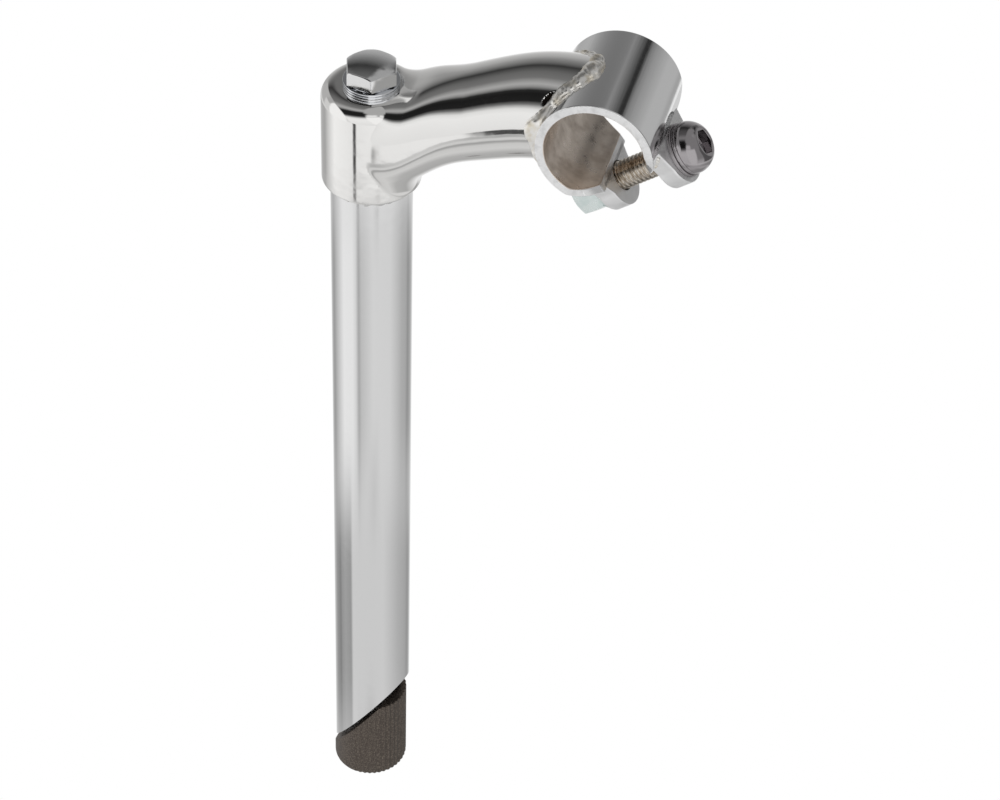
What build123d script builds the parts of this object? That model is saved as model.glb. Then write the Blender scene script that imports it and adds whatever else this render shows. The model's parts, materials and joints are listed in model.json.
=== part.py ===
from build123d import *
from math import cos, radians, sin, sqrt
import os

# Handlebar stem for a bicycle: quill tube, forged neck and arm, split handlebar clamp, expander bolt and wedge.
# Millimetres. The origin is on the quill tube's axis at the lower edge of the neck's sleeve.
# +Z runs up the tube, +X along the arm towards the clamp, and the handlebar lies along Y.

# Driving dimensions -------------------------------------------------------------------------------------------

# Quill tube, cut off slantwise at its lower end
TUBE_RADIUS = 11.1
TUBE_BORE_RADIUS = 8.6
TUBE_SPIGOT_RADIUS = 10.8
TUBE_SOCKET_DEPTH = 22.0
TUBE_LENGTH = 225.0
CUT_HEIGHT = -203.5
CUT_SLOPE = 1.423
CUT_TURN = -15.0

# Neck: a sleeve round the tube and an arm that climbs to the clamp
SLEEVE_RADIUS = 13.42
SLEEVE_HEIGHT = 30.4
SLEEVE_TOP_ROUND = 4.0
SLEEVE_FOOT_ROUND = 1.0
# Arm sections on upright planes: distance along X, lowest Z, highest Z, half width
ARM_SECTIONS = (
    (1.0, 1.2, 29.8, 12.6),
    (9.0, 2.0, 31.4, 12.8),
    (16.0, 6.7, 35.2, 12.6),
    (22.0, 11.1, 38.0, 12.1),
    (32.0, 15.1, 42.6, 12.1),
    (44.0, 18.7, 46.9, 12.9),
    (52.0, 20.0, 48.0, 13.6),
    (60.0, 20.8, 48.2, 14.0),
)

# Clamp barrel: a split band with its centre over the end of the arm
BARREL_X = 63.97
BARREL_Z = 33.0
BARREL_RADIUS = 15.59
BARREL_BORE_RADIUS = 13.09
BARREL_LENGTH = 34.54
BARREL_EDGE_ROUND = 0.45
GAP_HALF = 7.1
BAND_END_HALF_WIDTH = 11.4
BAND_TAPER_START = 13.9
BAND_TAPER_REACH = 4.0

# Ears: lugs on the band's two ends, square to the clamp bolt
BOLT_RISE = 36.3
BOLT_OFFSET = 16.86
EAR_THICKNESS = 5.0
EAR_BASE_REACH = 8.5
UPPER_EAR_BASE_HALF_WIDTH = 10.9
UPPER_EAR_TIP_RADIUS = 8.6
LOWER_EAR_BASE_HALF_WIDTH = 12.3
LOWER_EAR_TIP_RADIUS = 8.0
EAR_HOLE_RADIUS = 4.2
EAR_EDGE_ROUND = 0.5
SPOT_FACE_RADIUS = 8.3

# Welds and braze
BARREL_WELD_THICKNESS = 2.2
BARREL_WELD_END = 60.0
EAR_WELD_THICKNESS = 1.1
EAR_WELD_INSET = 0.5
BRAZE_WIDTH = 1.3
BRAZE_DROP = 0.45

# M8 fasteners
THREAD_RADIUS = 3.85
THREAD_BORE_RADIUS = 3.92
EXPANDER_HEX_ACROSS_FLATS = 13.0
WASHER_BORE_RADIUS = 4.2

# Expander bolt and wedge
EXPANDER_WASHER_RADIUS = 8.0
EXPANDER_WASHER_THICKNESS = 0.8
EXPANDER_FLANGE_RADIUS = 6.2
EXPANDER_FLANGE_THICKNESS = 0.8
EXPANDER_HEAD_HEIGHT = 4.7
EXPANDER_DOME_RADIUS = 22.0
EXPANDER_HEAD_TURN = -13.4
EXPANDER_BOLT_END = -222.0
EXPANDER_BOLT_POINT = 0.8
NECK_HOLE_RADIUS = 4.25
WASHER_SEAT_RADIUS = 8.3
WEDGE_RADIUS = 10.6
WEDGE_BOTTOM = -225.0
WEDGE_SHIFT = -0.5
WEDGE_GAP = 1.5
WEDGE_FOOT_ROUND = 1.6
WEDGE_TIP_FLAT = 2.2

# Clamp bolt, its washers and its nut
CLAMP_WASHER_RADIUS = 7.3
CLAMP_LOCK_WASHER_RADIUS = 6.95
CLAMP_WASHER_THICKNESS = 1.1
CLAMP_HEAD_RADIUS = 7.2
CLAMP_HEAD_HEIGHT = 5.0
CLAMP_HEAD_TOP_RADIUS = 4.3
CLAMP_HEAD_RIM = 0.7
SOCKET_ACROSS_FLATS = 6.0
SOCKET_DEPTH = 2.8
NUT_ACROSS_FLATS = 12.0
NUT_HEIGHT = 7.2
NUT_CORNER_REACH = 7.5
NUT_WASHER_RADIUS = 7.2
NUT_WASHER_THICKNESS = 0.9
LOCK_WASHER_SLIT = 0.9

# Places worked out from the driving dimensions ------------------------------------------------------------------

EXPANDER_HEX_CORNER_RADIUS = EXPANDER_HEX_ACROSS_FLATS / sqrt(3)
NUT_CORNER_RADIUS = NUT_ACROSS_FLATS / sqrt(3)
SOCKET_CORNER_RADIUS = SOCKET_ACROSS_FLATS / sqrt(3)
FAR = 80.0

# Directions of the clamp: the bolt's axis points out of its head, and "reach" points from the barrel to the bolt
bolt_axis = Vector(cos(radians(BOLT_RISE)), 0, sin(radians(BOLT_RISE)))
reach = Vector(bolt_axis.Z, 0, -bolt_axis.X)
barrel_centre = Vector(BARREL_X, 0, BARREL_Z)
bolt_centre = barrel_centre + reach * BOLT_OFFSET
ear_outer = GAP_HALF + EAR_THICKNESS

# The slanted cut of the tube, and the wedge's parallel face below it
cut_normal = Vector(
    -CUT_SLOPE * cos(radians(CUT_TURN)), -CUT_SLOPE * sin(radians(CUT_TURN)), 1
).normalized()
tube_cut = Plane(origin=(0, 0, CUT_HEIGHT), z_dir=cut_normal)
wedge_cut = Plane(origin=(0, 0, CUT_HEIGHT - WEDGE_GAP), z_dir=cut_normal)
wedge_tip = CUT_HEIGHT - WEDGE_GAP + CUT_SLOPE * (WEDGE_RADIUS + WEDGE_SHIFT - WEDGE_TIP_FLAT)

os.makedirs("parts", exist_ok=True)


def across_bolt(distance):
    """Plane square to the clamp bolt at a distance along it, with local x along the reach."""
    return Plane(
        origin=bolt_centre + bolt_axis * distance, x_dir=reach, z_dir=bolt_axis
    )


def barrel_plane():
    """Plane through the barrel's centre, with its normal along the handlebar."""
    return Plane(origin=barrel_centre, x_dir=(1, 0, 0), z_dir=(0, 1, 0))


def save(piece, name):
    """Labels a finished piece and writes it as the node of that name."""
    piece.label = name
    export_step(piece, f"parts/{name}.step")


# Quill tube -----------------------------------------------------------------------------------------------------

with BuildPart() as quill_tube:
    with BuildSketch(Plane.XY.offset(-BRAZE_DROP)):
        Circle(TUBE_RADIUS)
    extrude(amount=-TUBE_LENGTH)
    # The tube's upper end is turned down to a spigot that fits the neck's socket
    with BuildSketch(Plane.XY.offset(TUBE_SOCKET_DEPTH)):
        Circle(TUBE_SPIGOT_RADIUS)
    extrude(amount=-TUBE_SOCKET_DEPTH - BRAZE_DROP)
    with BuildSketch(Plane.XY.offset(TUBE_SOCKET_DEPTH)):
        Circle(TUBE_BORE_RADIUS)
    extrude(amount=-TUBE_LENGTH - TUBE_SOCKET_DEPTH, mode=Mode.SUBTRACT)
    split(bisect_by=tube_cut, keep=Keep.TOP)
save(quill_tube.part, "quill_tube")

# Neck: sleeve and arm in one forging ----------------------------------------------------------------------------


def arm_loft(thickening=0.0):
    """The arm's body through its sections, thickened all round where a weld lies over it."""
    with BuildPart() as arm:
        for along, low, high, half_width in ARM_SECTIONS:
            section = Plane(
                origin=(along, 0, (low + high) / 2), x_dir=(0, 1, 0), z_dir=(1, 0, 0)
            )
            with BuildSketch(section):
                Ellipse(half_width + thickening, (high - low) / 2 + thickening)
        loft()
    return arm.part


with BuildPart() as barrel_envelope:
    with BuildSketch(barrel_plane()):
        Circle(BARREL_RADIUS)
    extrude(amount=FAR / 2, both=True)

# Room beside the barrel for the washers and the nut, outside the two ears
with BuildPart() as spot_faces:
    for end in (1, -1):
        with BuildSketch(across_bolt(end * ear_outer)):
            Circle(SPOT_FACE_RADIUS)
        extrude(amount=end * FAR)

with BuildPart() as neck_forging:
    with BuildSketch(Plane.XY):
        Circle(SLEEVE_RADIUS)
    extrude(amount=SLEEVE_HEIGHT)
    fillet(neck_forging.edges().group_by(Axis.Z)[-1], radius=SLEEVE_TOP_ROUND)
    fillet(neck_forging.edges().group_by(Axis.Z)[0], radius=SLEEVE_FOOT_ROUND)
    add(arm_loft())
    add(barrel_envelope.part, mode=Mode.SUBTRACT)
    add(spot_faces.part, mode=Mode.SUBTRACT)
    with BuildSketch(Plane.XY):
        Circle(TUBE_SPIGOT_RADIUS)
    extrude(amount=TUBE_SOCKET_DEPTH, mode=Mode.SUBTRACT)
    with BuildSketch(Plane.XY):
        Circle(NECK_HOLE_RADIUS)
    extrude(amount=FAR, mode=Mode.SUBTRACT)
    with BuildSketch(Plane.XY.offset(SLEEVE_HEIGHT)):
        Circle(WASHER_SEAT_RADIUS)
    extrude(amount=FAR, mode=Mode.SUBTRACT)
save(neck_forging.part, "neck_forging")

with BuildPart() as tube_braze_ring:
    with BuildSketch(Plane.XZ):
        with BuildLine():
            Polyline(
                (TUBE_SPIGOT_RADIUS, 0),
                (TUBE_RADIUS + BRAZE_WIDTH, 0),
                (TUBE_RADIUS, -BRAZE_DROP),
                (TUBE_SPIGOT_RADIUS, -BRAZE_DROP),
                close=True,
            )
        make_face()
    revolve(axis=Axis.Z)
save(tube_braze_ring.part, "tube_braze_ring")

# Clamp barrel ---------------------------------------------------------------------------------------------------

with BuildPart() as clamp_barrel:
    with BuildSketch(barrel_plane()):
        Circle(BARREL_RADIUS)
        Circle(BARREL_BORE_RADIUS, mode=Mode.SUBTRACT)
    extrude(amount=BARREL_LENGTH / 2, both=True)
    fillet(clamp_barrel.edges().filter_by(GeomType.CIRCLE), radius=BARREL_EDGE_ROUND)
    # The gap between the band's ends, and the taper of each end towards the gap
    gap_plane = Plane(origin=barrel_centre, x_dir=bolt_axis, z_dir=reach)
    with BuildSketch(gap_plane):
        Rectangle(2 * GAP_HALF, FAR)
    extrude(amount=FAR, mode=Mode.SUBTRACT)
    with BuildSketch(gap_plane.offset(BAND_TAPER_REACH)):
        for side in (1, -1):
            Polygon(
                (-BAND_TAPER_START, side * FAR / 2),
                (-BAND_TAPER_START, side * BARREL_LENGTH / 2),
                (-GAP_HALF, side * BAND_END_HALF_WIDTH),
                (GAP_HALF, side * BAND_END_HALF_WIDTH),
                (BAND_TAPER_START, side * BARREL_LENGTH / 2),
                (BAND_TAPER_START, side * FAR / 2),
                align=None,
            )
    extrude(amount=FAR, mode=Mode.SUBTRACT)
    # Spot faces that seat the washers beside the barrel, and the bolt's own hole through the band's ends
    add(spot_faces.part, mode=Mode.SUBTRACT)
    with BuildSketch(across_bolt(-ear_outer)):
        Circle(EAR_HOLE_RADIUS)
    extrude(amount=2 * ear_outer, mode=Mode.SUBTRACT)
save(clamp_barrel.part, "clamp_barrel")

# Weld bead between the arm and the barrel -----------------------------------------------------------------------

with BuildPart() as barrel_weld:
    with BuildSketch(barrel_plane()):
        Circle(BARREL_RADIUS + BARREL_WELD_THICKNESS)
        Circle(BARREL_RADIUS, mode=Mode.SUBTRACT)
    extrude(amount=BARREL_LENGTH / 2, both=True)
    add(arm_loft(BARREL_WELD_THICKNESS), mode=Mode.INTERSECT)
    add(arm_loft(), mode=Mode.SUBTRACT)
    add(spot_faces.part, mode=Mode.SUBTRACT)
    split(bisect_by=Plane.YZ.offset(BARREL_WELD_END), keep=Keep.BOTTOM)
save(barrel_weld.part, "barrel_weld")

# Ears -----------------------------------------------------------------------------------------------------------


def ear_outline(tip_radius, base_half_width, thickening=0.0):
    """Outline of a lug in the current sketch: a round tip on the bolt's axis, widening towards the barrel."""
    Circle(tip_radius + thickening)
    Polygon(
        (-EAR_BASE_REACH, -base_half_width - thickening),
        (0, -tip_radius - thickening),
        (0, tip_radius + thickening),
        (-EAR_BASE_REACH, base_half_width + thickening),
        align=None,
    )


def ear(end, tip_radius, base_half_width):
    """A lug at one end of the band: end is 1 on the bolt head's side and -1 on the nut's side."""
    with BuildPart() as lug:
        with BuildSketch(across_bolt(end * GAP_HALF)):
            ear_outline(tip_radius, base_half_width)
        extrude(amount=end * EAR_THICKNESS)
        outer_face = lug.faces().sort_by(Axis(bolt_centre, bolt_axis * end))[-1]
        fillet(outer_face.edges(), radius=EAR_EDGE_ROUND)
        with BuildSketch(across_bolt(end * GAP_HALF)):
            Circle(EAR_HOLE_RADIUS)
        extrude(amount=end * EAR_THICKNESS, mode=Mode.SUBTRACT)
        add(barrel_envelope.part, mode=Mode.SUBTRACT)
    return lug.part


upper_ear = ear(1, UPPER_EAR_TIP_RADIUS, UPPER_EAR_BASE_HALF_WIDTH)
save(upper_ear, "upper_ear")
lower_ear = ear(-1, LOWER_EAR_TIP_RADIUS, LOWER_EAR_BASE_HALF_WIDTH)
save(lower_ear, "lower_ear")


def ear_weld(end, tip_radius, base_half_width, lug):
    """The two beads along a lug's sides, where they meet the barrel."""
    with BuildPart() as beads:
        with BuildSketch(across_bolt(end * (GAP_HALF + EAR_WELD_INSET))):
            ear_outline(tip_radius, base_half_width, EAR_WELD_THICKNESS)
        extrude(amount=end * (EAR_THICKNESS - EAR_WELD_INSET))
        with BuildSketch(barrel_plane(), mode=Mode.PRIVATE) as shell_ring:
            Circle(BARREL_RADIUS + EAR_WELD_THICKNESS)
            Circle(BARREL_RADIUS, mode=Mode.SUBTRACT)
        extrude(shell_ring.sketch, amount=BARREL_LENGTH / 2, both=True, mode=Mode.INTERSECT)
        add(lug, mode=Mode.SUBTRACT)
        with BuildSketch(across_bolt(end * GAP_HALF)):
            Circle(tip_radius)
        extrude(amount=end * EAR_THICKNESS, mode=Mode.SUBTRACT)
    return beads.part


save(ear_weld(1, UPPER_EAR_TIP_RADIUS, UPPER_EAR_BASE_HALF_WIDTH, upper_ear), "upper_ear_weld")
save(ear_weld(-1, LOWER_EAR_TIP_RADIUS, LOWER_EAR_BASE_HALF_WIDTH, lower_ear), "lower_ear_weld")

# Expander bolt, its washers and its wedge -----------------------------------------------------------------------


def washer(plane, radius, thickness, slit=0.0):
    """A flat ring on a plane. A slit across its rim makes it a split lock washer."""
    with BuildPart() as ring:
        with BuildSketch(plane):
            Circle(radius)
            Circle(WASHER_BORE_RADIUS, mode=Mode.SUBTRACT)
            if slit:
                with Locations((0, radius)):
                    Rectangle(slit, 2 * radius, mode=Mode.SUBTRACT)
        extrude(amount=thickness)
    return ring.part


lower_washer_seat = SLEEVE_HEIGHT
upper_washer_seat = lower_washer_seat + EXPANDER_WASHER_THICKNESS
expander_head_seat = upper_washer_seat + EXPANDER_WASHER_THICKNESS
hex_seat = expander_head_seat + EXPANDER_FLANGE_THICKNESS

save(
    washer(Plane.XY.offset(lower_washer_seat), EXPANDER_WASHER_RADIUS, EXPANDER_WASHER_THICKNESS),
    "expander_lower_washer",
)
save(
    washer(Plane.XY.offset(upper_washer_seat), EXPANDER_WASHER_RADIUS, EXPANDER_WASHER_THICKNESS),
    "expander_upper_washer",
)

with BuildPart() as expander_bolt:
    with BuildSketch(Plane.XY.offset(hex_seat)):
        RegularPolygon(EXPANDER_HEX_CORNER_RADIUS, 6, rotation=EXPANDER_HEAD_TURN)
    extrude(amount=EXPANDER_HEAD_HEIGHT)
    # The top of the hexagon is turned to a shallow dome
    with Locations((0, 0, hex_seat + EXPANDER_HEAD_HEIGHT - EXPANDER_DOME_RADIUS)):
        Sphere(EXPANDER_DOME_RADIUS, mode=Mode.INTERSECT)
    with BuildSketch(Plane.XY.offset(expander_head_seat)):
        Circle(EXPANDER_FLANGE_RADIUS)
    extrude(amount=EXPANDER_FLANGE_THICKNESS)
    with BuildSketch(Plane.XY.offset(EXPANDER_BOLT_END)):
        Circle(THREAD_RADIUS)
    extrude(amount=hex_seat - EXPANDER_BOLT_END)
    chamfer(expander_bolt.edges().group_by(Axis.Z)[0], length=EXPANDER_BOLT_POINT)
save(expander_bolt.part, "expander_bolt")

with BuildPart() as expander_wedge:
    with BuildSketch(Plane(origin=(WEDGE_SHIFT, 0, WEDGE_BOTTOM))):
        Circle(WEDGE_RADIUS)
    extrude(amount=wedge_tip - WEDGE_BOTTOM)
    fillet(expander_wedge.edges().group_by(Axis.Z)[0], radius=WEDGE_FOOT_ROUND)
    split(bisect_by=wedge_cut, keep=Keep.BOTTOM)
    with BuildSketch(Plane.XY.offset(WEDGE_BOTTOM)):
        Circle(THREAD_BORE_RADIUS)
    extrude(amount=FAR, mode=Mode.SUBTRACT)
save(expander_wedge.part, "expander_wedge")

# Clamp bolt, its washers and its nut ----------------------------------------------------------------------------

lock_washer_seat = ear_outer + CLAMP_WASHER_THICKNESS
clamp_head_seat = lock_washer_seat + CLAMP_WASHER_THICKNESS
nut_washer_seat = -ear_outer - NUT_WASHER_THICKNESS
nut_end = nut_washer_seat - NUT_HEIGHT

save(
    washer(across_bolt(ear_outer), CLAMP_WASHER_RADIUS, CLAMP_WASHER_THICKNESS),
    "clamp_flat_washer",
)
save(
    washer(
        across_bolt(lock_washer_seat), CLAMP_LOCK_WASHER_RADIUS, CLAMP_WASHER_THICKNESS, LOCK_WASHER_SLIT
    ),
    "clamp_lock_washer",
)
save(
    washer(across_bolt(nut_washer_seat), NUT_WASHER_RADIUS, NUT_WASHER_THICKNESS),
    "clamp_nut_washer",
)

# Profile plane of the clamp bolt: local x out from the axis, local y along it
bolt_profile = Plane(origin=bolt_centre, x_dir=reach, z_dir=(0, -1, 0))

with BuildPart() as clamp_bolt:
    with BuildSketch(bolt_profile):
        with BuildLine():
            rim = (CLAMP_HEAD_RADIUS, clamp_head_seat + CLAMP_HEAD_RIM)
            crown = (CLAMP_HEAD_TOP_RADIUS, clamp_head_seat + CLAMP_HEAD_HEIGHT)
            Polyline(
                crown,
                (0, clamp_head_seat + CLAMP_HEAD_HEIGHT),
                (0, nut_end),
                (THREAD_RADIUS, nut_end),
                (THREAD_RADIUS, clamp_head_seat),
                (CLAMP_HEAD_RADIUS, clamp_head_seat),
                rim,
            )
            RadiusArc(rim, crown, -CLAMP_HEAD_RADIUS)
        make_face()
    revolve(axis=Axis(bolt_centre, bolt_axis))
    with BuildSketch(across_bolt(clamp_head_seat + CLAMP_HEAD_HEIGHT)):
        RegularPolygon(SOCKET_CORNER_RADIUS, 6)
    extrude(amount=-SOCKET_DEPTH, mode=Mode.SUBTRACT)
save(clamp_bolt.part, "clamp_bolt")

with BuildPart() as clamp_nut:
    with BuildSketch(across_bolt(nut_end)):
        RegularPolygon(NUT_CORNER_RADIUS, 6)
        Circle(THREAD_BORE_RADIUS, mode=Mode.SUBTRACT)
    extrude(amount=NUT_HEIGHT)
    # The corners are chamfered at both ends
    with Locations(across_bolt(nut_end + NUT_HEIGHT / 2)):
        Sphere(NUT_CORNER_REACH, mode=Mode.INTERSECT)
save(clamp_nut.part, "clamp_nut")
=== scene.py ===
import json
import math

import bmesh
import bpy
import numpy as np
from mathutils import Matrix, Vector


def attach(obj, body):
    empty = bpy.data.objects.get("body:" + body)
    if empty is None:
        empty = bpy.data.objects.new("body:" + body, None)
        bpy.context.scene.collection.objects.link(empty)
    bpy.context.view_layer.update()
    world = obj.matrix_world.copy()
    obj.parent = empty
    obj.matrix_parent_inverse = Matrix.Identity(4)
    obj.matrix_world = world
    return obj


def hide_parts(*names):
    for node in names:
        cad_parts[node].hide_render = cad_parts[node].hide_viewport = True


# Looks of a chromed quill stem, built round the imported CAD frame.
# Lengths are millimetres in the CAD frame until a mesh is made, and angles are degrees where a name says so.

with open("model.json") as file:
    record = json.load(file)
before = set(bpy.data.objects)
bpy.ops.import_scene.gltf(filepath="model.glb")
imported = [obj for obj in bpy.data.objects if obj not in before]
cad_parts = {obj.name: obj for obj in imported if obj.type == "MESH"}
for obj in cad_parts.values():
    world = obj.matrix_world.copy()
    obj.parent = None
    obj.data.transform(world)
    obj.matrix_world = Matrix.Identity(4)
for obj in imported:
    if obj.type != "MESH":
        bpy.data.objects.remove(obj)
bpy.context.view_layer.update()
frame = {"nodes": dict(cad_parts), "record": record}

MM = 0.001
TAU = 2 * math.pi
UP = np.array([0.0, 0.0, 1.0])
ACROSS = np.array([0.0, 1.0, 0.0])
ORIGIN = np.zeros(3)

# ---- Places taken from the frame ----

record = frame["record"]
joints = {joint["name"]: joint for joint in record["behaviour"]["joints"]}
mounts = {mount["name"]: mount for mount in record["mounts"]}


def extent(node, direction, centre=ORIGIN):
    """Least and greatest distance of a CAD node along a direction, in millimetres."""
    corners = np.array([vertex.co for vertex in frame["nodes"][node].data.vertices]) / MM
    along = (corners - centre) @ direction
    return float(along.min()), float(along.max())


bolt_axis = np.array(joints["clamp_bolt_turn"]["axis"], float)
bolt_centre = np.array(joints["clamp_bolt_turn"]["pos_m"], float) / MM
reach = np.array([bolt_axis[2], 0.0, -bolt_axis[0]])
barrel_centre = np.array(mounts["handlebar_clamp"]["pos_m"], float) / MM
bore_radius = mounts["handlebar_clamp"]["dims"]["r_mm"]
barrel_half = mounts["handlebar_clamp"]["dims"]["length_mm"] / 2
tube_radius = mounts["quill"]["dims"]["r_mm"]
bolt_offset = float((bolt_centre - barrel_centre) @ reach)
barrel_radius = extent("clamp_barrel", UP, barrel_centre)[1]
tube_top = extent("quill_tube", UP)[1]
washer_seat = extent("expander_lower_washer", UP)[0]
wedge_bottom, wedge_top = extent("expander_wedge", UP)

# ---- Sizes ----

TUBE_BORE_RADIUS = 8.6
SPIGOT_RADIUS = 10.8
CUT_HEIGHT = -203.5
CUT_SLOPE = 1.423
CUT_TURN = math.radians(-15)

SLEEVE_RADIUS = 13.42
SLEEVE_TOP_ROUND = 4.0
SLEEVE_FOOT_ROUND = 0.8
WASHER_SEAT_RADIUS = 8.5
NECK_HOLE_RADIUS = 4.25
# Arm sections: distance along X, lowest Z, highest Z, half width
ARM_SECTIONS = np.array(
    [
        (1, 1.2, 29.8, 12.6),
        (9, 2.0, 31.4, 12.8),
        (16, 6.7, 35.2, 12.6),
        (22, 11.1, 38.0, 12.1),
        (32, 15.1, 42.6, 12.1),
        (44, 18.7, 46.9, 12.9),
        (52, 20.0, 48.0, 13.6),
        (60, 20.8, 48.2, 14.0),
    ],
    float,
)
ARM_SQUARENESS = 2.15
ARM_INTO_BARREL = 1.0
# The arm is squarer and a little wider where it leaves the sleeve
SHOULDER_SQUARENESS = 3.6
SHOULDER_START = 6.0
SHOULDER_END = 27.0
ROOT_SWELL = 0.45
ROOT_SWELL_END = 22.0
# Rounding between the sleeve and the arm, above and below, and how far out it reaches its full size
ARM_BLEND = 3.2
CROTCH_BLEND = 4.0
CROTCH_DEPTH = 9.0
BLEND_FULL = 13.0
NECK_STEP = 0.45

BAND_GAP_HALF = 7.1
BAND_END_HALF_WIDTH = 11.4
BAND_TAPER_START = 13.9
BAND_EDGE_ROUND = 0.4
SPOT_FACE_RADIUS = 10.4
EAR_OUTER = extent("upper_ear", bolt_axis, bolt_centre)[1]
EAR_BASE_REACH = 8.5
EAR_HOLE_RADIUS = 4.2

THREAD_CREST = 3.85
THREAD_ROOT = 3.25
THREAD_PITCH = 1.25
THREAD_ROWS = 10

WEDGE_RADIUS = 10.9
WEDGE_SHIFT = -0.6
WEDGE_BORE_RADIUS = 3.92
WEDGE_GAP = 2.3
WEDGE_TIP_DROP = 2.0

# ---- Mesh tools ----

MERGE_DISTANCE = 1e-7
CUT_SHARP_DEGREES = 30


def unit(vector):
    """The vector scaled to a length of one."""
    return vector / np.linalg.norm(vector)


def smooth_step(values, start, end):
    """Rises smoothly from 0 at the start to 1 at the end."""
    share = np.clip((np.asarray(values, float) - start) / (end - start), 0, 1)
    return share * share * (3 - 2 * share)


def rounded(corners, radius, steps=4):
    """A closed outline through the corners, with each corner turned into an arc."""
    corners = np.array(corners, float)
    outline = []
    for before, corner, after in zip(np.roll(corners, 1, 0), corners, np.roll(corners, -1, 0)):
        inward, outward = unit(before - corner), unit(after - corner)
        half = math.acos(float(np.clip(inward @ outward, -1, 1))) / 2
        trim = radius / math.tan(half)
        centre = corner + unit(inward + outward) * radius / math.sin(half)
        first, last = corner + inward * trim - centre, corner + outward * trim - centre
        turn = math.pi - 2 * half
        for share in np.linspace(0, 1, steps + 1):
            blend = first * math.sin((1 - share) * turn) + last * math.sin(share * turn)
            outline.append(centre + blend / math.sin(turn))
    return np.array(outline)


def strip_faces(rows, columns, wrap_rows, wrap_columns):
    """Quads of a grid of rows by columns, closed on itself where wrapped."""
    row, column = np.meshgrid(
        np.arange(rows if wrap_rows else rows - 1),
        np.arange(columns if wrap_columns else columns - 1),
        indexing="ij",
    )
    next_row, next_column = (row + 1) % rows, (column + 1) % columns
    quads = [row * columns + column, row * columns + next_column]
    quads += [next_row * columns + next_column, next_row * columns + column]
    return np.stack([quad.ravel() for quad in quads], 1).tolist()


def capped(loops):
    """Joins outlines of the same size into one closed shape with flat ends."""
    size = len(loops[0])
    last = (len(loops) - 1) * size
    faces = strip_faces(len(loops), size, False, True)
    faces += [list(range(size)), list(range(last, last + size))]
    return np.concatenate(loops), faces


def ring(profile, segments=128, start=0.0, turn=TAU, closed=True):
    """Turns a profile of (radius, height) points about local Z. A callable profile depends on the angle."""
    full = math.isclose(turn, TAU)
    angles = start + turn * np.arange(segments + (0 if full else 1)) / segments
    loops = []
    for angle in angles:
        outline = np.asarray(profile(angle) if callable(profile) else profile, float)
        radius, height = outline[:, 0], outline[:, 1]
        loops.append(np.stack([radius * math.cos(angle), radius * math.sin(angle), height], 1))
    if not full:
        return capped(loops)
    return np.concatenate(loops), strip_faces(len(loops), len(loops[0]), True, closed)


def on_bolt(points):
    """Moves points from the clamp bolt's own frame, with local X along the reach, to the CAD frame."""
    across = np.cross(bolt_axis, reach)
    return bolt_centre + points @ np.array([reach, across, bolt_axis])


def clean_mesh(name, points, faces, merge=True):
    """A mesh in metres with its faces turned outwards, and with doubled points merged where asked."""
    mesh = bpy.data.meshes.new(name)
    mesh.from_pydata((np.asarray(points) * MM).tolist(), [], faces)
    work = bmesh.new()
    work.from_mesh(mesh)
    if merge:
        bmesh.ops.remove_doubles(work, verts=work.verts, dist=MERGE_DISTANCE)
        bmesh.ops.dissolve_degenerate(work, edges=work.edges, dist=MERGE_DISTANCE / 10)
    bmesh.ops.recalc_face_normals(work, faces=work.faces)
    work.to_mesh(mesh)
    work.free()
    return mesh


def shade_smooth(mesh, sharp_degrees):
    """Smooth shading with sharp edges where faces meet at more than an angle."""
    mesh.polygons.foreach_set("use_smooth", np.ones(len(mesh.polygons), bool))
    mesh.set_sharp_from_angle(angle=math.radians(sharp_degrees))


def new_object(name, data):
    """Makes an object and puts it in the scene."""
    made = bpy.data.objects.new(name, data)
    bpy.context.scene.collection.objects.link(made)
    return made


body_of_node = {node: body for body, nodes in record["behaviour"]["bodies"].items() for node in nodes}


def add_piece(name, points, faces, material, node, normals=None, sharp_degrees=38):
    """Makes a mesh object that stands for a CAD node and rides on its body."""
    mesh = clean_mesh(name, points, faces, merge=normals is None)
    if normals is None:
        shade_smooth(mesh, sharp_degrees)
    else:
        mesh.polygons.foreach_set("use_smooth", np.ones(len(mesh.polygons), bool))
        mesh.normals_split_custom_set_from_vertices(normals.tolist())
    mesh.materials.append(material)
    piece = new_object(name, mesh)
    if normals is None:
        weighted = piece.modifiers.new("even faces", "WEIGHTED_NORMAL")
        weighted.keep_sharp = True
    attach(piece, body_of_node[node])
    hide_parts(node)
    return piece


def cut(piece, points, faces):
    """Takes a closed shape out of a piece, and leaves the piece's other modifiers as they were."""
    cutter = new_object("cutter", clean_mesh("cutter", points, faces))
    boolean = piece.modifiers.new("cut", "BOOLEAN")
    boolean.operation = "DIFFERENCE"
    boolean.solver = "EXACT"
    boolean.object = cutter
    piece.modifiers.move(len(piece.modifiers) - 1, 0)
    for modifier in piece.modifiers:
        modifier.show_viewport = modifier == boolean
    bpy.context.view_layer.update()
    evaluated = piece.evaluated_get(bpy.context.evaluated_depsgraph_get())
    result = bpy.data.meshes.new_from_object(evaluated)
    piece.modifiers.remove(boolean)
    for modifier in piece.modifiers:
        modifier.show_viewport = True
    shade_smooth(result, CUT_SHARP_DEGREES)
    piece.data = result
    bpy.data.objects.remove(cutter)


def rod(radius, low, high, segments=96):
    """A solid cylinder along local Z."""
    return ring([(0, low), (radius, low), (radius, high), (0, high)], segments, closed=False)


def hexagon(angle, across_flats, corner=0.0):
    """Distance from the middle of a hexagon to its side, in a direction, with a corner at a given angle."""
    from_flat = (angle - corner) % (TAU / 6) - TAU / 12
    return across_flats / 2 / math.cos(from_flat)


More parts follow.
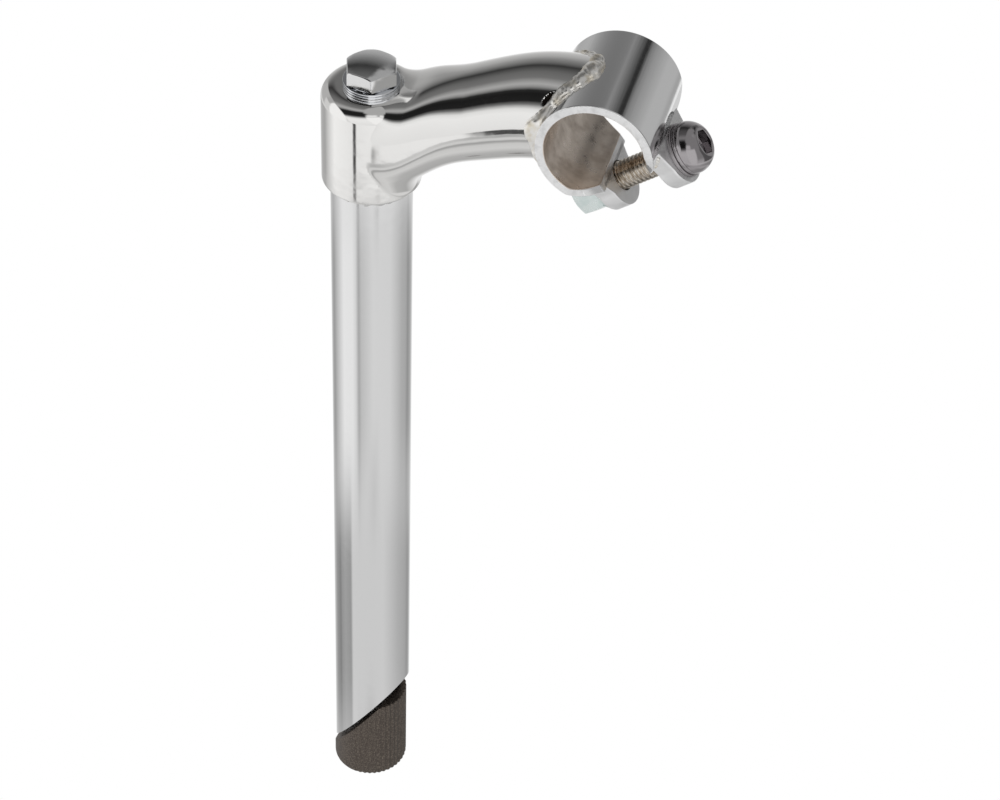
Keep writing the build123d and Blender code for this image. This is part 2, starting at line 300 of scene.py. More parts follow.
def thread(low, high):
    """A function of the angle that gives the profile points of an M8 thread, from low to high."""
    heights = np.linspace(low, high, int((high - low) / THREAD_PITCH * THREAD_ROWS) + 1)

    def profile(angle):
        phase = (heights / THREAD_PITCH - angle / TAU) % 1
        ridge = smooth_step(np.abs(2 * phase - 1), 0.12, 0.9)
        end_taper = smooth_step(heights, low, low + THREAD_PITCH)
        radius = THREAD_ROOT + (THREAD_CREST - THREAD_ROOT) * ridge * end_taper
        return np.stack([radius, heights], 1)

    return profile


def spline(xs, ys):
    """Natural cubic spline through the points, as a function of arrays."""
    count, gaps = len(xs), np.diff(xs)
    system, slopes = np.eye(count), np.zeros(count)
    for i in range(1, count - 1):
        system[i, i - 1 : i + 2] = gaps[i - 1], 2 * (gaps[i - 1] + gaps[i]), gaps[i]
        slopes[i] = 6 * ((ys[i + 1] - ys[i]) / gaps[i] - (ys[i] - ys[i - 1]) / gaps[i - 1])
    bends = np.linalg.solve(system, slopes)

    def value(x):
        x = np.clip(x, xs[0], xs[-1])
        i = np.clip(np.searchsorted(xs, x) - 1, 0, count - 2)
        before, after = (xs[i + 1] - x) / gaps[i], (x - xs[i]) / gaps[i]
        bend = (before**3 - before) * bends[i] + (after**3 - after) * bends[i + 1]
        return before * ys[i] + after * ys[i + 1] + bend * gaps[i] ** 2 / 6

    return value


def smooth_max(a, b, blend):
    """The greater of two values, rounded off where they are closer than the blend."""
    share = np.clip(0.5 + 0.5 * (a - b) / blend, 0, 1)
    return b + (a - b) * share + blend * share * (1 - share)


def smooth_min(a, b, blend):
    return -smooth_max(-a, -b, blend)


def polygonise(field, low, high, step, rounds=3):
    """Surface of field = 0 inside a box, as points, quads and normals that lie on the field itself."""
    axes = [np.arange(a, b + step, step) for a, b in zip(low, high)]
    shape = tuple(len(axis) for axis in axes)
    grid = np.stack(np.meshgrid(*axes, indexing="ij"), -1).reshape(-1, 3)
    values = np.concatenate([field(part) for part in np.array_split(grid, 16)]).reshape(shape)
    inside = values < 0
    cells = tuple(n - 1 for n in shape)
    total, hits = np.zeros(cells + (3,)), np.zeros(cells)
    crossings = []
    for axis in range(3):
        near = tuple(slice(0, -1) if k == axis else slice(None) for k in range(3))
        far = tuple(slice(1, None) if k == axis else slice(None) for k in range(3))
        found = np.argwhere(inside[near] != inside[far])
        a, b = values[near][tuple(found.T)], values[far][tuple(found.T)]
        place = found.astype(float)
        place[:, axis] += a / (a - b)
        others = [k for k in range(3) if k != axis]
        keep = np.all([(found[:, k] > 0) & (found[:, k] < cells[k]) for k in others], 0)
        found, place = found[keep], place[keep]
        around = []
        for shift in ((0, 0), (-1, 0), (-1, -1), (0, -1)):
            cell = found.copy()
            cell[:, others[0]] += shift[0]
            cell[:, others[1]] += shift[1]
            around.append(cell)
            np.add.at(total, tuple(cell.T), place)
            np.add.at(hits, tuple(cell.T), 1)
        crossings.append((around, inside[tuple(found.T)], axis))
    used = hits > 0
    index = np.full(cells, -1)
    index[used] = np.arange(used.sum())
    points = np.array(low) + total[used] / hits[used][:, None] * step
    faces = []
    for around, flipped, axis in crossings:
        quads = np.stack([index[tuple(cell.T)] for cell in around], 1)
        turn = flipped if axis != 1 else ~flipped
        quads[~turn] = quads[~turn][:, ::-1]
        faces += quads.tolist()
    for _ in range(rounds):
        slope = gradient(field, points)
        points = points - slope * (field(points) / np.maximum((slope**2).sum(1), 0.05))[:, None]
    normals = gradient(field, points)
    return points, faces, normals / np.linalg.norm(normals, axis=1)[:, None]


def gradient(field, points, reach_mm=0.02):
    """Slope of a field at the points, from differences a short way to each side."""
    steps = np.eye(3) * reach_mm
    return np.stack([(field(points + s) - field(points - s)) / (2 * reach_mm) for s in steps], 1)


def sweep(path, outward, size, closed=True, sides=20):
    """A bead along a path. Size is a function of the distances along it and the angles round it."""
    if closed:
        tangent = np.roll(path, -1, 0) - np.roll(path, 1, 0)
    else:
        tangent = np.gradient(path, axis=0)
    tangent /= np.linalg.norm(tangent, axis=1)[:, None]
    outward = outward - (outward * tangent).sum(1)[:, None] * tangent
    outward /= np.linalg.norm(outward, axis=1)[:, None]
    sideways = np.cross(tangent, outward)
    travelled = np.linalg.norm(np.diff(path, axis=0), axis=1)
    along = np.concatenate([[0], np.cumsum(travelled)])[:, None]
    round_it = (TAU * np.arange(sides) / sides)[None, :]
    radius = size(along, round_it)[..., None]
    turn = np.cos(round_it)[..., None] * outward[:, None] + np.sin(round_it)[..., None] * sideways[:, None]
    loops = path[:, None] + radius * turn
    if not closed:
        return capped(loops)
    return np.concatenate(loops), strip_faces(len(path), sides, True, True)


def resample(points, step):
    """Points at even steps along a smooth closed curve through the given points."""
    points = np.asarray(points, float)
    points = np.concatenate([points[-3:], points, points[:4]])
    knots = np.concatenate([[0], np.cumsum(np.linalg.norm(np.diff(points, axis=0), axis=1))])
    curves = [spline(knots, points[:, k]) for k in range(points.shape[1])]
    first, last = knots[3], knots[-4]
    count = int((last - first) / step)
    places = first + (last - first) * np.arange(count) / count
    return np.stack([curve(places) for curve in curves], 1)


def lumps(generator, waves, shortest, longest):
    """A smooth random function of a distance, about 1 high, made of sine waves."""
    lengths = np.exp(generator.uniform(math.log(shortest), math.log(longest), waves))
    starts = generator.uniform(0, TAU, waves)

    def height(distance):
        distance = np.asarray(distance, float)[..., None]
        return np.sin(TAU * distance / lengths + starts).sum(-1) * math.sqrt(2 / waves)

    return height


# ---- Materials ----


def linear(value):
    """Turns a screen brightness from 0 to 255 into the linear value that shaders take."""
    value = value / 255
    return value / 12.92 if value <= 0.04045 else ((value + 0.055) / 1.055) ** 2.4


def grey_or_colour(value):
    """A shader colour from one screen brightness or from three."""
    channels = (value,) * 3 if isinstance(value, (int, float)) else value
    return tuple(linear(channel) for channel in channels) + (1.0,)


class Nodes:
    """Short ways to add shader nodes to a tree and to join them up."""

    def __init__(self, tree):
        self.tree = tree
        tree.nodes.clear()

    def add(self, kind, inputs=None, **settings):
        node = self.tree.nodes.new(kind)
        for key, value in settings.items():
            setattr(node, key, value)
        for key, value in (inputs or {}).items():
            if isinstance(value, bpy.types.NodeSocket):
                self.tree.links.new(value, node.inputs[key])
            else:
                node.inputs[key].default_value = value
        return node

    def maths(self, operation, *values):
        return self.add("ShaderNodeMath", dict(enumerate(values)), operation=operation).outputs[0]

    def ramp(self, value, low, high, to_low=0.0, to_high=1.0, smooth=False):
        kind = "SMOOTHSTEP" if smooth else "LINEAR"
        inputs = {"Value": value, "From Min": low, "From Max": high, "To Min": to_low, "To Max": to_high}
        return self.add("ShaderNodeMapRange", inputs, interpolation_type=kind).outputs["Result"]

    def noise(self, scale, detail, stretch=(1, 1, 1)):
        place = self.add("ShaderNodeTexCoord").outputs["Object"]
        mapped = self.add("ShaderNodeMapping", {"Vector": place, "Scale": stretch}).outputs["Vector"]
        texture = self.add("ShaderNodeTexNoise", {"Vector": mapped, "Scale": scale, "Detail": detail})
        return texture.outputs["Fac"]

    def mix(self, share, first, second):
        return self.add("ShaderNodeMix", {0: share, 6: first, 7: second}, data_type="RGBA").outputs[2]

    def bump(self, height, depth_mm, before=None):
        inputs = {"Height": height, "Strength": 1.0, "Distance": depth_mm * MM}
        if before is not None:
            inputs["Normal"] = before
        return self.add("ShaderNodeBump", inputs).outputs["Normal"]


EVEN = (1, 1, 1)
ROUGHNESS_SPREAD = 0.3


def metal(name, colour, roughness, bumps, tint=None, blotch_scale=400.0, metallic=1.0):
    """A metal with noise bumps, given as (scale, depth in mm, stretch, detail), and a blotchy tint."""
    material = bpy.data.materials.new(name)
    material.use_nodes = True
    nodes = Nodes(material.node_tree)
    blotches = nodes.noise(blotch_scale, 4.0)
    paint = grey_or_colour(colour)
    if tint is not None:
        share = nodes.ramp(blotches, 0.45, 0.68)
        paint = nodes.mix(share, grey_or_colour(colour), grey_or_colour(tint))
    smoother, rougher = roughness * (1 - ROUGHNESS_SPREAD), roughness * (1 + ROUGHNESS_SPREAD)
    rough = nodes.ramp(blotches, 0.3, 0.7, smoother, rougher)
    normal = None
    for scale, depth, stretch, detail in bumps:
        normal = nodes.bump(nodes.noise(scale, detail, stretch), depth, normal)
    inputs = {"Base Color": paint, "Metallic": metallic, "Roughness": rough, "Normal": normal}
    shader = nodes.add("ShaderNodeBsdfPrincipled", inputs)
    nodes.add("ShaderNodeOutputMaterial", {"Surface": shader.outputs[0]})
    return material


chrome_tube = metal("chrome_tube", 250, 0.05, [(170.0, 0.012, (1, 1, 0.12), 1.0)])
chrome_forging = metal("chrome_forging", (252, 251, 249), 0.06, [(150.0, 0.03, EVEN, 2.0)])
belt_lines = [(900.0, 0.012, (1, 0.03, 1), 3.0), (2600.0, 0.004, (1, 0.05, 1), 2.0)]
chrome_barrel = metal("chrome_barrel", 250, 0.09, belt_lines)
chrome_band_end = metal("chrome_band_end", 255, 0.5, [(2600.0, 0.04, EVEN, 3.0)], tint=236, metallic=0.45)
bore_lines = [(500.0, 0.05, (0.25, 1.6, 0.25), 4.0)]
bore_brushed = metal("bore_brushed", (232, 220, 208), 0.33, bore_lines, (206, 194, 182), 260.0)
chrome_lug = metal("chrome_lug", 248, 0.5, [(1400.0, 0.02, EVEN, 3.0)])
weld = metal("weld", (255, 253, 249), 0.38, [(700.0, 0.03, EVEN, 2.0)], tint=(240, 232, 216))
# Painted shade: a near-black finish that stands in for the shade inside the hollow beside the weld
hollow_painted_shade = metal("hollow_painted_shade", (34, 30, 28), 0.75, [(1500.0, 0.1, EVEN, 3.0)], tint=(62, 56, 52))
braze = metal("braze", 250, 0.3, [(1100.0, 0.05, EVEN, 3.0)], tint=(222, 218, 210))
bolt_steel = metal("bolt_steel", 236, 0.12, [(1600.0, 0.006, EVEN, 2.0)])
washer_zinc = metal("washer_zinc", (242, 244, 248), 0.09, [(700.0, 0.006, EVEN, 2.0)])
wedge_grain = [(2200.0, 0.06, EVEN, 4.0)]
wedge_iron = metal("wedge_iron", (92, 84, 78), 0.5, wedge_grain, (142, 132, 122), 2400.0)
clamp_steel = metal("clamp_steel", (176, 172, 174), 0.1, [(800.0, 0.006, EVEN, 2.0)])
thread_steel = metal("thread_steel", (216, 208, 197), 0.2, [(1500.0, 0.01, EVEN, 2.0)], tint=(160, 147, 131))
nut_zinc = metal("nut_zinc", (243, 252, 250), 0.3, [(1500.0, 0.01, EVEN, 2.0)], tint=(230, 242, 240))

# ---- Quill tube and its braze ----

TUBE_SEGMENTS = 256
DEBURR = 0.15


def cut_height(x, y):
    """Height of the tube's slanted cut above a place."""
    return CUT_HEIGHT + CUT_SLOPE * (x * math.cos(CUT_TURN) + y * math.sin(CUT_TURN))


def cut_at(angle, radius):
    return cut_height(radius * math.cos(angle), radius * math.sin(angle))


def tube_profile(angle):
    return [
        (SPIGOT_RADIUS, tube_top),
        (SPIGOT_RADIUS, -0.2),
        (tube_radius, -0.3),
        (tube_radius, cut_at(angle, tube_radius) + DEBURR),
        (tube_radius - DEBURR, cut_at(angle, tube_radius - DEBURR)),
        (TUBE_BORE_RADIUS + DEBURR, cut_at(angle, TUBE_BORE_RADIUS + DEBURR)),
        (TUBE_BORE_RADIUS, cut_at(angle, TUBE_BORE_RADIUS) + DEBURR),
        (TUBE_BORE_RADIUS, tube_top),
    ]


add_piece("quill_tube_body", *ring(tube_profile, TUBE_SEGMENTS), chrome_tube, "quill_tube")

BRAZE_STEPS = 8
BRAZE_TOP = 0.12
BRAZE_WIDTH = 1.8
BRAZE_DROP = 1.9
SEAM_FADE = 0.25
braze_random = np.random.default_rng(11)
width_waves, drop_waves = [lumps(braze_random, 5, TAU / 40, TAU / 6) for _ in range(2)]


def braze_profile(angle):
    """A fillet with drips. Its waves are faded out at the seam, where the ring meets itself."""
    seam = 1 - smooth_step(abs(angle - math.pi), math.pi - SEAM_FADE, math.pi)
    width = BRAZE_WIDTH + 0.12 * float(width_waves(angle)) * float(seam)
    drop = BRAZE_DROP + 0.16 * float(drop_waves(angle)) * float(seam)
    share = np.linspace(0, 1, BRAZE_STEPS)
    radius = tube_radius - 0.05 + width * (1 - share) ** 1.4
    fillet = np.stack([radius, BRAZE_TOP - drop * share**0.9], 1)
    inner = SPIGOT_RADIUS + 0.1
    return np.concatenate([[(inner, BRAZE_TOP)], fillet, [(inner, BRAZE_TOP - drop)]])


add_piece("braze_fillet", *ring(braze_profile, TUBE_SEGMENTS), braze, "tube_braze_ring")

# ---- Neck and arm ----

arm_low = spline(ARM_SECTIONS[:, 0], ARM_SECTIONS[:, 1])
arm_high = spline(ARM_SECTIONS[:, 0], ARM_SECTIONS[:, 2])
arm_half = spline(ARM_SECTIONS[:, 0], ARM_SECTIONS[:, 3])


def corner(across, above, rounding):
    """Distance to a corner between a wall and a top, both at zero."""
    across, above = across + rounding, above + rounding
    outside = np.hypot(np.maximum(across, 0), np.maximum(above, 0))
    return outside + np.minimum(np.maximum(across, above), 0) - rounding


def barrel_place(degrees, y, radius):
    """A place round the barrel: degrees from +X towards +Z, distance along the handlebar, radius."""
    angle = np.radians(degrees)
    around = np.stack([np.cos(angle), np.zeros_like(angle), np.sin(angle)], -1)
    return barrel_centre + around * np.asarray(radius)[..., None] + np.asarray(y, float)[..., None] * ACROSS


# A hollow that the weld leaves open beside the arm
hollow = barrel_place(np.array(144.0), -10.8, 17.4)
HOLLOW_WAY = unit(np.array([0.62, 0.68, 0.38]))
HOLLOW_LENGTH = 2.8
HOLLOW_RADIUS = 1.0
HOLLOW_RIM = 0.2
HOLLOW_BLEND = 0.4


def hollow_distance(points):
    """Distance from the wall of the hollow beside the weld, negative inside it."""
    lengthways = (points - hollow) @ HOLLOW_WAY
    crossways = np.linalg.norm(points - hollow - lengthways[:, None] * HOLLOW_WAY, axis=1)
    return np.hypot(lengthways * HOLLOW_RADIUS / HOLLOW_LENGTH, crossways) - HOLLOW_RADIUS


def neck_field(points):
    """Negative inside the sleeve and the arm, with the socket, the bolt's hole and the hollow left out."""
    x, y, z = points.T
    radius = np.hypot(x, y)
    sleeve = np.maximum(
        corner(radius - SLEEVE_RADIUS, z - washer_seat, SLEEVE_TOP_ROUND),
        corner(radius - SLEEVE_RADIUS, -z, SLEEVE_FOOT_ROUND),
    )
    low, high, half = arm_low(x), arm_high(x), arm_half(x)
    middle, rise = (low + high) / 2, (high - low) / 2
    shoulder = (1 - smooth_step(x, SHOULDER_START, SHOULDER_END)) * smooth_step(z - middle, -8, 5)
    power = ARM_SQUARENESS + (SHOULDER_SQUARENESS - ARM_SQUARENESS) * shoulder
    half = half + ROOT_SWELL * (1 - smooth_step(x, 4, ROOT_SWELL_END))
    section = np.abs(y / half) ** power + np.abs((z - middle) / rise) ** power
    arm = (section ** (1 / power) - 1) * np.minimum(half, rise) * 0.95
    arm = np.maximum(arm, -x)
    crotch = smooth_step(middle - z, 0, CROTCH_DEPTH)
    blend = ARM_BLEND + (CROTCH_BLEND - ARM_BLEND) * crotch
    body = smooth_min(sleeve, arm, 0.1 + blend * smooth_step(x, 2, BLEND_FULL))
    from_barrel = np.hypot(x - barrel_centre[0], z - barrel_centre[2])
    body = np.maximum(body, barrel_radius - ARM_INTO_BARREL - from_barrel)
    body = np.maximum(body, -np.maximum(radius - WASHER_SEAT_RADIUS, washer_seat - z))
    body = np.maximum(body, -np.maximum(radius - SPIGOT_RADIUS, z - tube_top))
    body = np.maximum(body, NECK_HOLE_RADIUS - radius)
    return smooth_max(body, -hollow_distance(points), HOLLOW_BLEND)


NECK_LOW = (-14.2, -15.2, -0.8)
NECK_HIGH = (61.8, 15.2, 50.5)
points, faces, normals = polygonise(neck_field, NECK_LOW, NECK_HIGH, NECK_STEP)
neck_piece = add_piece("neck_forging_body", points, faces, chrome_forging, "neck_forging", normals)
# Faces in and just round the hollow get the near-black finish, as painted shade for that recess
neck_piece.data.materials.append(hollow_painted_shade)
neck_centres = np.array([face.center for face in neck_piece.data.polygons]) / MM
for face, distance in zip(neck_piece.data.polygons, hollow_distance(neck_centres)):
    face.material_index = 1 if distance < HOLLOW_RIM else 0

# ---- Clamp barrel ----

BAND_STEPS = 150
TAPER_STEPS = 16
# The rounded edge of the band's ends: how far beyond the end, and how far the outline is drawn in
END_INSETS = ((0.0, 0.3), (0.1, 0.1), (0.3, 0.0))
LOWER_SPOT_FACE_RADIUS = 8.3
CUTTER_REACH = 30.0
taper_angle = math.asin(BAND_TAPER_START / barrel_radius)


def band_half_width(along_bolt, radius, reach_side):
    """Half width of the band, which tapers towards the gap on the side of the ears."""
    start = BAND_TAPER_START * radius / barrel_radius
    share = np.clip((start - abs(along_bolt)) / (start - BAND_GAP_HALF), 0, 1) * reach_side
    return barrel_half + (BAND_END_HALF_WIDTH - barrel_half) * share


def band_loop(share, extra_gap, inset):
    """Outline across the band at a share of the way round it from one end to the other."""
    corners = []
    for radius, side in ((barrel_radius, -1), (barrel_radius, 1), (bore_radius, 1), (bore_radius, -1)):
        angle = band_angle(radius, share, extra_gap)
        half = band_half_width(radius * math.sin(angle), radius, math.cos(angle) > 0)
        edge = inset if radius == barrel_radius else -inset
        corners.append((side * (half - inset), radius - edge))
    outline = rounded(corners, BAND_EDGE_ROUND)
    angles = np.array([band_angle(radius, share, extra_gap) for radius in outline[:, 1]])
    along, towards = outline[:, 1] * np.sin(angles), outline[:, 1] * np.cos(angles)
    return barrel_centre + along[:, None] * bolt_axis + towards[:, None] * reach + outline[:, :1] * ACROSS


def band_angle(radius, share, extra_gap):
    """Angle round the barrel at a share of the way from the gap's upper side to its lower side."""
    end = math.asin((BAND_GAP_HALF + extra_gap) / radius)
    return end + share * (TAU - 2 * end)


end_angle = math.asin((BAND_GAP_HALF + END_INSETS[-1][0]) / barrel_radius)
taper_share = (taper_angle - end_angle) / (TAU - 2 * end_angle)
shares = np.concatenate(
    [
        np.linspace(0, taper_share, TAPER_STEPS)[1:],
        np.linspace(taper_share, 1 - taper_share, BAND_STEPS)[1:],
        np.linspace(1 - taper_share, 1, TAPER_STEPS)[1:-1],
    ]
)
loops = [band_loop(0.0, extra, inset) for extra, inset in END_INSETS]
loops += [band_loop(share, END_INSETS[-1][0], 0.0) for share in shares]
loops += [band_loop(1.0, extra, inset) for extra, inset in reversed(END_INSETS)]
band = add_piece("clamp_barrel_band", *capped(loops), chrome_barrel, "clamp_barrel")

for side, spot_radius in ((1, SPOT_FACE_RADIUS), (-1, LOWER_SPOT_FACE_RADIUS)):
    cutter, cutter_faces = rod(spot_radius, EAR_OUTER, CUTTER_REACH)
    cutter[:, 2] *= side
    cut(band, on_bolt(cutter), cutter_faces)
hole, hole_faces = rod(EAR_HOLE_RADIUS, -20.0, 20.0)
cut(band, on_bolt(hole), hole_faces)

# The bore, the band's rims and the faces of its gap carry finishes of their own
BORE_SLOT, RIM_SLOT, GAP_SLOT = 1, 2, 3
band.data.materials.append(bore_brushed)
band.data.materials.append(chrome_band_end)
band.data.materials.append(chrome_lug)
for face in band.data.polygons:
    centre = np.array(face.center) / MM - barrel_centre
    outwards = np.array([centre[0], 0, centre[2]])
    distance = float(np.linalg.norm(outwards))
    normal = np.array(face.normal)
    if distance < bore_radius + 0.25 and normal @ outwards < 0:
        face.material_index = BORE_SLOT
    elif abs(normal[1]) > 0.8:
        face.material_index = RIM_SLOT
    elif abs(centre @ bolt_axis) < BAND_GAP_HALF + 0.35 and centre @ reach > 0:
        face.material_index = GAP_SLOT

# ---- Weld between the arm and the barrel ----

# Places along the bead: degrees round the barrel from +X towards +Z, and distance along the handlebar
WELD_PATH = (
    (110, 4.5), (106, 1.5), (110, -3), (119, -6.2), (130, -8.4), (141, -10.6), (153, -13.2),
    (165, -15.3), (180, -15.6), (205, -14.8), (222, -11), (231, -5), (233, 0), (231, 5), (222, 11),
    (205, 14.5), (180, 15), (160, 14), (145, 12), (130, 9.5), (118, 7.2),
)
WELD_HEIGHT = 1.35
WELD_HALF_WIDTH = 2.3
RIPPLE = 1.7
WELD_STEP = 0.16
BEAD_SHARP_DEGREES = 75
flat_path = [(math.radians(degrees) * barrel_radius, y) for degrees, y in WELD_PATH]
flat_path = resample(flat_path, WELD_STEP)
weld_random = np.random.default_rng(5)
wander = lumps(weld_random, 6, 3.5, 12)
swell = lumps(weld_random, 7, 2.0, 9)
twist = lumps(weld_random, 6, 1.6, 7)
weld_degrees = np.degrees(flat_path[:, 0] / barrel_radius)
weld_distance = WELD_STEP * np.arange(len(flat_path))
near_side = flat_path[:, 1] < 0


def bulge(degrees, spread):
    """One where the bead passes a place round the barrel, and less away from it."""
    return np.exp(-((weld_degrees - degrees) ** 2) / spread)


blob = 0.65 * bulge(165, 110) * near_side
crown = 0.2 * bulge(107, 12)
neck_in = 0.7 * bulge(148, 22) * near_side
thin = 1.3 * smooth_step(flat_path[:, 1], -1, 7) + 0.9 * smooth_step(weld_degrees, 172, 205) * near_side
proud = 0.35 + 1.3 * blob + 0.12 * wander(weld_distance) - 0.25 * thin
weld_path = barrel_place(weld_degrees, flat_path[:, 1], barrel_radius + proud)
weld_outward = barrel_place(weld_degrees, flat_path[:, 1], barrel_radius + 5.0) - weld_path


def weld_size(along, round_it):
    """Radius of the bead: an oval, with soft ripples that trail round it and slow swellings."""
    ripple = np.cos(TAU * (along / RIPPLE + 0.22 * np.cos(round_it)) + 1.1 * wander(along))
    up, sideways = np.cos(round_it), np.sin(round_it)
    oval = 1 / np.sqrt((up / WELD_HEIGHT) ** 2 + (sideways / WELD_HALF_WIDTH) ** 2)
    size = (1 + blob + crown - 0.5 * thin - 0.5 * neck_in)[:, None]
    size = size + 0.05 * swell(along) + 0.022 * ripple
    return oval * size + 0.05 * twist(along + 0.9 * sideways + 0.7 * up)


# The bead is pressed flat where it would stand out past the barrel's ends
BEAD_FREE = 15.4
bead, bead_faces = sweep(weld_path, weld_outward, weld_size)
give = barrel_half - 0.05 - BEAD_FREE
from_middle = np.abs(bead[:, 1])
spare = np.maximum(from_middle - BEAD_FREE, 0)
pressed = np.minimum(from_middle, BEAD_FREE) + give * np.tanh(spare / give)
bead[:, 1] = np.sign(bead[:, 1]) * pressed
add_piece("barrel_weld_bead", bead, bead_faces, weld, "barrel_weld", sharp_degrees=BEAD_SHARP_DEGREES)

# ---- Ears ----

# Name, side of the gap, radius of the tip, half width at the base
EARS = (("upper_ear", 1, 8.6, 10.9), ("lower_ear", -1, 8.0, 12.3))
# The rounded outer edge: how far below the outer face, and how far the outline is drawn in
EAR_ROUNDS = ((0.0, 0.45), (0.12, 0.17), (0.45, 0.0))
EAR_FOOT_RADIUS = 14.3
EAR_BEAD_RADIUS = 0.6


def ear_outline(tip_radius, base_half, foot):
    """Outline of a lug in the plane across the clamp bolt, from a foot at a distance along the reach."""
    slope = (base_half - tip_radius) / EAR_BASE_REACH
    wide = tip_radius - foot * slope
    arc = [(math.cos(a) * tip_radius, math.sin(a) * tip_radius) for a in np.linspace(-TAU / 4, TAU / 4, 49)]
    side = [(foot * share, tip_radius + (wide - tip_radius) * share) for share in np.linspace(0.1, 1, 9)]
    base = [(foot, wide - 2 * wide * share) for share in np.linspace(0.1, 0.9, 9)]
    return np.array(arc + side + base + [(x, -y) for x, y in reversed(side)])


def ear_points(end, tip_radius, base_half):
    """A lug, from its outer face down to the band's gap."""
    loops = []
    outer, inner = EAR_OUTER, BAND_GAP_HALF
    levels = [(outer - drop, inset) for drop, inset in EAR_ROUNDS]
    levels += [(level, 0.0) for level in np.linspace(outer - 0.8, inner + 0.5, 8)]
    levels += [(inner + 0.25, 0.0), (inner + 0.05, 0.08), (inner, 0.25)]
    for level, inset in levels:
        foot = math.sqrt(EAR_FOOT_RADIUS**2 - level**2) - bolt_offset
        outline = ear_outline(tip_radius, base_half, foot)
        along = np.roll(outline, -1, 0) - np.roll(outline, 1, 0)
        inward = np.stack([-along[:, 1], along[:, 0]], 1)
        outline = outline + inset * inward / np.linalg.norm(inward, axis=1)[:, None]
        loops.append(np.column_stack([outline, np.full(len(outline), end * level)]))
    points, faces = capped(loops)
    return on_bolt(points), faces


bead_random = np.random.default_rng(23)
for name, end, tip_radius, base_half in EARS:
    plate = add_piece(name + "_plate", *ear_points(end, tip_radius, base_half), chrome_lug, name)
    cut(plate, on_bolt(hole), hole_faces)
    for side in (1, -1):
        levels = np.linspace(BAND_GAP_HALF + 0.9, EAR_OUTER - 0.7, 60)
        towards = np.sqrt((barrel_radius + 0.1) ** 2 - levels**2)
        half = tip_radius - (towards - bolt_offset) * (base_half - tip_radius) / EAR_BASE_REACH
        path = barrel_centre + end * levels[:, None] * bolt_axis + towards[:, None] * reach
        path = path + side * half[:, None] * ACROSS
        outward = path - barrel_centre
        outward[:, 1] = side * 8
        swell_here = lumps(bead_random, 5, 0.8, 4)

        def bead_size(along, round_it):
            """Radius of a short bead that closes down at both ends."""
            ends = np.sqrt(np.clip(1 - (2 * along / along[-1] - 1) ** 6, 0.02, 1))
            return ends * (EAR_BEAD_RADIUS + 0.05 * swell_here(along + 0.4 * np.cos(round_it)))

        points, faces = sweep(path, outward, bead_size, closed=False)
        side_name = "near" if side < 0 else "far"
        bead_name = f"{name}_weld_{side_name}"
        add_piece(bead_name, points, faces, weld, name + "_weld", sharp_degrees=BEAD_SHARP_DEGREES)

# ---- Washers ----

WASHER_BORE = 4.3
EXPANDER_WASHER_ROUNDING = 0.2


def washer_profile(radius, low, high, rounding=0.22):
    """Section of a washer with rounded edges."""
    return rounded([(WASHER_BORE, low), (radius, low), (radius, high), (WASHER_BORE, high)], rounding)


EXPANDER_WASHER_RADIUS = 0.955 * extent("expander_lower_washer", ACROSS)[1]
for name in ("expander_lower_washer", "expander_upper_washer"):
    low, high = extent(name, UP)
    profile = washer_profile(EXPANDER_WASHER_RADIUS, low, high, EXPANDER_WASHER_ROUNDING)
    add_piece(name + "_ring", *ring(profile, 128), washer_zinc, name)

for name, material in (("clamp_flat_washer", clamp_steel), ("clamp_nut_washer", nut_zinc)):
    low, high = extent(name, bolt_axis, bolt_centre)
    profile = washer_profile(extent(name, ACROSS)[1], low, high)
    points, faces = ring(profile, 128)
    add_piece(name + "_ring", on_bolt(points), faces, material, name)

lock_low, lock_high = extent("clamp_lock_washer", bolt_axis, bolt_centre)
lock_radius = extent("clamp_lock_washer", reach, bolt_centre)[1]
SLIT_ANGLE = 0.14
profile = washer_profile(lock_radius, lock_low, lock_high)
points, faces = ring(profile, 120, TAU / 4 + SLIT_ANGLE / 2, TAU - SLIT_ANGLE)
add_piece("clamp_lock_washer_ring", on_bolt(points), faces, clamp_steel, "clamp_lock_washer")

# ---- Expander bolt and wedge ----

HEX_ACROSS_FLATS = 13.0
HEX_TURN = math.radians(-13.4)
DOME_RADIUS = 22.0
CORNER_START = 6.2
THREAD_TOP = -180.0
bolt_bottom, hex_top = extent("expander_bolt", UP)
washers_top = extent("expander_upper_washer", UP)[1]
hex_bottom = washers_top + 0.15
bolt_thread = thread(bolt_bottom + 0.8, THREAD_TOP)


def dome(radius):
    """Height of the head's domed top, which falls away faster near the corners."""
    corner_drop = 0.45 * max(0.0, (radius - CORNER_START) / 1.3) ** 2
    return hex_top + 0.15 - DOME_RADIUS + math.sqrt(DOME_RADIUS**2 - radius**2) - corner_drop


def expander_profile(angle):
    """The threaded end, the plain shank, a narrow collar and the hexagon head with its dome."""
    side = hexagon(angle, HEX_ACROSS_FLATS, HEX_TURN)
    end = [(0, bolt_bottom), (THREAD_ROOT - 0.4, bolt_bottom)]
    shank = [(THREAD_CREST, THREAD_TOP + 1), (THREAD_CREST, washers_top)]
    collar = [(6.1, washers_top), (6.15, hex_bottom)]
    sides = [(min(side, 6.3), hex_bottom), (side, hex_bottom + 0.25)]
    sides += [(side, dome(side) - 0.18), (side - 0.06, dome(side) - 0.06), (side - 0.2, dome(side - 0.2))]
    top = [(radius, dome(radius)) for radius in np.linspace(side - 0.4, 0, 12)]
    return np.concatenate([end, bolt_thread(angle), shank, collar, sides, top])


points, faces = ring(expander_profile, 96, HEX_TURN, closed=False)
add_piece("expander_bolt_body", points, faces, bolt_steel, "expander_bolt")

WEDGE_SEGMENTS = 288
WEDGE_TIP_BLEND = 0.5
WEDGE_FOOT_ROUND = 1.6
RIBS = 43
RIB_DEPTH = 0.3


